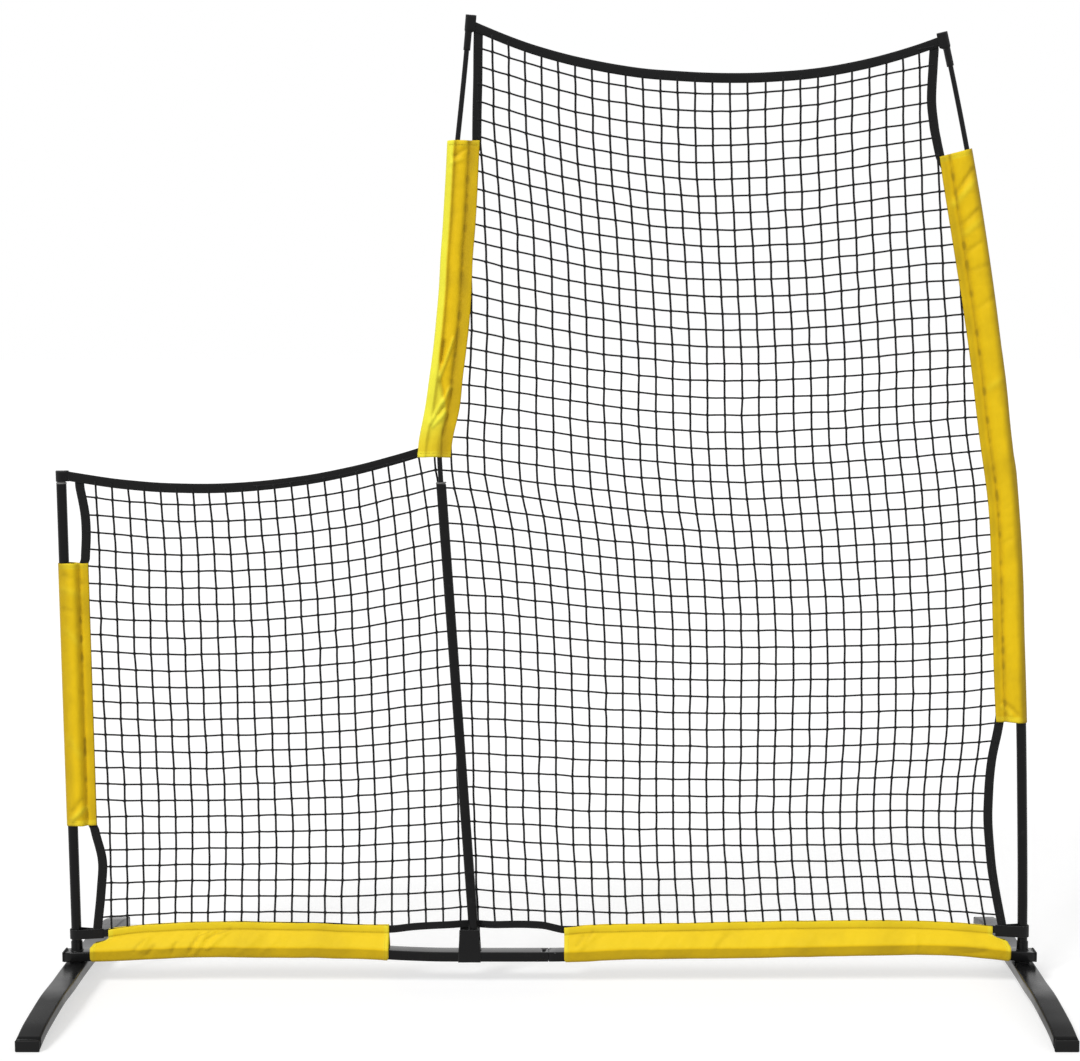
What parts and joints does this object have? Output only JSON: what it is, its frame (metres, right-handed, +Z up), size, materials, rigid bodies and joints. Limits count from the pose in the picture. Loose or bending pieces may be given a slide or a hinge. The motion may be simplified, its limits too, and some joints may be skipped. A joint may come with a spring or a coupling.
{
  "type": "baseball l screen",
  "caption": "Free-standing L-shaped net screen on arched turning feet, held up by steel uprights and sprung rods, with coloured sleeves.",
  "frame": {"origin": "on the floor, below the middle of the base tube", "axes": "+X along the base towards the tall side, +Y from the front to the back, +Z up"},
  "size_m": [2.1726, 0.886, 2.1284],
  "materials": {
    "black_steel": "satin black powder coat",
    "black_plastic": "moulded matt black",
    "grey_plastic": "moulded grey",
    "black_rod": "pultruded glass fibre, black",
    "zinc_steel": "bright zinc plate",
    "spring_steel": "bare sprung strip",
    "yellow_cloth": "coated woven polyester, satin",
    "black_webbing": "woven webbing, matt",
    "black_twine": "knotted braided twine, matt"
  },
  "bodies": {
    "screen": {"base_coupler": "black_steel", "base_end_cap_left": "black_plastic", "base_end_cap_right": "black_plastic", "base_tube_left": "black_steel", "base_tube_right": "black_steel", "button_spring": "spring_steel", "centre_tab": "black_webbing", "corner_strap_left": "black_webbing", "corner_strap_right": "black_webbing", "foot_bolt_left": "zinc_steel", "foot_bolt_right": "zinc_steel", "foot_nut_left": "zinc_steel", "foot_nut_right": "zinc_steel", "foot_spacer_left": "black_plastic", "foot_spacer_right": "black_plastic", "foot_washer_left": "zinc_steel", "foot_washer_right": "zinc_steel", "net_left": "black_twine", "net_right": "black_twine", "pocket_left": "black_webbing", "pocket_mid": "black_webbing", "pocket_right": "black_webbing", "pole_plug_left": "grey_plastic", "pole_socket_left": "black_steel", "pole_socket_mid": "black_steel", "pole_socket_right": "black_steel", "pole_tube_left": "black_steel", "pole_tube_mid": "black_steel", "pole_tube_right": "black_steel", "rod_mid": "black_rod", "rod_right": "black_rod", "rod_socket_mid": "grey_plastic", "rod_socket_right": "grey_plastic", "rod_tip_mid": "black_plastic", "rod_tip_right": "black_plastic", "sleeve_base_left": "yellow_cloth", "sleeve_base_right": "yellow_cloth", "sleeve_left": "yellow_cloth", "sleeve_mid": "yellow_cloth", "sleeve_right": "yellow_cloth", "webbing_bottom": "black_webbing", "webbing_left_side": "black_webbing", "webbing_lower_top": "black_webbing", "webbing_mid_side": "black_webbing", "webbing_right_side": "black_webbing", "webbing_upper_top": "black_webbing"},
    "foot_left_turning": {"foot_left": "black_steel", "foot_cap_left_front": "black_plastic", "foot_cap_left_rear": "black_plastic"},
    "foot_right_turning": {"foot_right": "black_steel", "foot_cap_right_front": "black_plastic", "foot_cap_right_rear": "black_plastic"},
    "button": {"snap_button": "zinc_steel"}
  },
  "joints": [
    {"name": "foot_left_swivel", "type": "hinge", "parent": "screen", "child": "foot_left_turning", "pos_m": [-1.057, 0, 0.04], "axis": [0, 0, 1], "continuous": true},
    {"name": "foot_right_swivel", "type": "hinge", "parent": "screen", "child": "foot_right_turning", "pos_m": [1.057, 0, 0.04], "axis": [0, 0, 1], "continuous": true},
    {"name": "snap_button_press", "type": "slide", "parent": "screen", "child": "button", "axis": [0, 0, -1], "range_m": [0, 0.0054], "stiffness_N_per_m": 900, "springref_m": -0.004, "deforming": ["button_spring"]}
  ]
}
